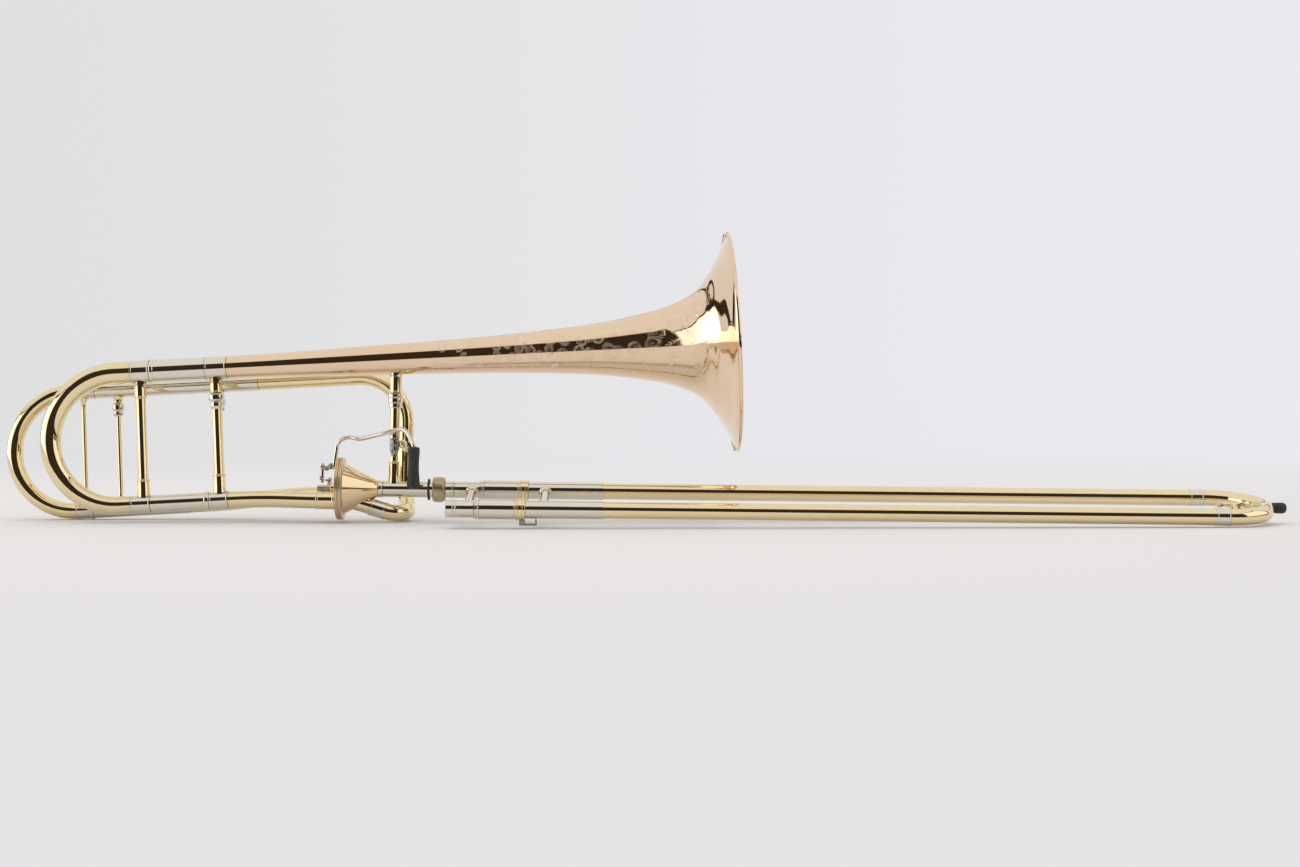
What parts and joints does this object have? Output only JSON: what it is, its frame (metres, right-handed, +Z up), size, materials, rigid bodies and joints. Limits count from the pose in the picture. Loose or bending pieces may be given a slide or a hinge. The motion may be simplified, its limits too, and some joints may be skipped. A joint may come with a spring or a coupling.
{
  "type": "slide trombone with f attachment",
  "caption": "Tenor slide trombone with F attachment: a flared bell, a long hand slide, two tuning slides and a conical axial-flow valve worked by a thumb lever.",
  "frame": {"origin": "bottom centre of the box round the instrument as it lies on a table", "axes": "+X along the hand slide, away from the player, with the bell facing the same way; +Z up"},
  "size_m": [1.2374, 0.2186, 0.2806],
  "materials": {
    "rose_brass": "lacquered rose brass, polished",
    "yellow_brass": "lacquered yellow brass, polished",
    "satin_brass": "lacquered brass, fine turned",
    "nickel_silver": "polished nickel silver",
    "dark_nickel": "knurled nickel, dark",
    "valve_steel": "satin",
    "black_rubber": "matt black",
    "cork": "natural cork"
  },
  "bodies": {
    "bell_section": {"bell": "rose_brass", "bell_rim_wire": "yellow_brass", "bell_tail_ferrule": "nickel_silver", "upper_outer_sleeve": "nickel_silver", "lower_leg_tube": "nickel_silver", "gooseneck": "yellow_brass", "valve_casing": "yellow_brass", "valve_back_plate": "yellow_brass", "rear_bearing": "yellow_brass", "receiver_ferrule": "nickel_silver", "receiver_tube": "nickel_silver", "joint_washer": "black_rubber", "f_lower_sleeve": "nickel_silver", "f_lower_tube": "yellow_brass", "f_upper_sleeve": "nickel_silver", "f_upper_tube": "yellow_brass", "f_crook": "yellow_brass", "bell_brace_socket": "yellow_brass", "bell_brace_nut": "nickel_silver", "bell_brace_tube": "yellow_brass", "bell_brace_joint": "dark_nickel", "bell_brace_foot": "yellow_brass", "f_tube_stay": "yellow_brass", "body_brace_socket": "yellow_brass", "body_brace_nut": "nickel_silver", "body_brace_tube": "yellow_brass", "f_brace_rod": "yellow_brass", "f_brace_nut": "nickel_silver", "f_rear_brace": "yellow_brass", "f_rear_nut": "nickel_silver"},
    "main_slide": {"main_bow": "yellow_brass", "bow_upper_leg": "nickel_silver", "bow_lower_ferrule": "nickel_silver", "bow_lower_sleeve": "nickel_silver", "bow_brace": "yellow_brass"},
    "f_slide": {"f_bow": "yellow_brass", "f_bow_upper_leg": "nickel_silver", "f_bow_lower_leg": "nickel_silver", "f_bow_brace": "yellow_brass"},
    "rotor": {"valve_rotor": "yellow_brass", "rotor_crank": "valve_steel"},
    "lever": {"lever_rod": "nickel_silver", "lever_collar": "nickel_silver", "lever_grip": "black_rubber"},
    "link": {"link_rod": "valve_steel"},
    "slide_section": {"slide_tenon": "nickel_silver", "inner_slide_far": "nickel_silver", "inner_slide_near": "nickel_silver", "far_slide_ring": "yellow_brass", "mouthpiece_receiver": "nickel_silver", "inner_brace": "nickel_silver"},
    "slide_nut": {"slide_nut": "satin_brass"},
    "slide_lock": {"slide_lock": "yellow_brass"},
    "outer_slide": {"outer_slide_near": "yellow_brass", "outer_slide_far": "yellow_brass", "hand_brace": "nickel_silver", "slide_bow": "yellow_brass", "slide_bumper": "black_rubber"},
    "water_key": {"water_key": "yellow_brass", "water_key_cork": "cork"}
  },
  "joints": [
    {"name": "main_tuning_slide", "type": "slide", "parent": "bell_section", "child": "main_slide", "axis": [-0.9987, -0.0069, -0.0504], "range_m": [0, 0.045]},
    {"name": "f_tuning_slide", "type": "slide", "parent": "bell_section", "child": "f_slide", "axis": [-0.9987, -0.0069, -0.0504], "range_m": [0, 0.06]},
    {"name": "thumb_lever", "type": "hinge", "parent": "bell_section", "child": "lever", "pos_m": [-0.23366, -0.00843, 0.08288], "axis": [0.0125, 0.1097, 0.9939], "range_deg": [0, 21.6], "stiffness_Nm_per_rad": 0.12, "springref_deg": -17.19},
    {"name": "valve_rotor_turn", "type": "hinge", "parent": "bell_section", "child": "rotor", "pos_m": [-0.2923, -0.01408, 0.03242], "axis": [0.9999, 0, -0.0126], "range_deg": [0, 105.5]},
    {"name": "link_pivot", "type": "hinge", "parent": "lever", "child": "link", "pos_m": [-0.30425, -0.00075, 0.05224], "axis": [0.0125, 0.1097, 0.9939], "range_deg": [-21.7, 0]},
    {"name": "slide_swivel", "type": "hinge", "parent": "bell_section", "child": "slide_section", "pos_m": [-0.19031, -0.01408, 0.03114], "axis": [0.9999, 0, -0.0126], "range_deg": [-45, 60]},
    {"name": "slide_nut_turn", "type": "hinge", "parent": "slide_section", "child": "slide_nut", "pos_m": [-0.19031, -0.01408, 0.03114], "axis": [0.9999, 0, -0.0126], "continuous": true},
    {"name": "hand_slide", "type": "slide", "parent": "slide_section", "child": "outer_slide", "axis": [0.9999, 0, -0.0126], "range_m": [0, 0.585]},
    {"name": "slide_lock_turn", "type": "hinge", "parent": "slide_section", "child": "slide_lock", "pos_m": [-0.10897, -0.09916, 0.01756], "axis": [0.9999, 0, -0.0126], "range_deg": [0, 35]},
    {"name": "water_key_press", "type": "hinge", "parent": "outer_slide", "child": "water_key", "pos_m": [0.55659, -0.09075, 0.01803], "axis": [0.0087, -0.7242, 0.6896], "range_deg": [0, 15], "stiffness_Nm_per_rad": 0.05, "springref_deg": -20.05}
  ],
  "couplings": [
    {"joint": "valve_rotor_turn", "follows": "thumb_lever", "ratio": 4.8796},
    {"joint": "link_pivot", "follows": "thumb_lever", "ratio": -1}
  ]
}
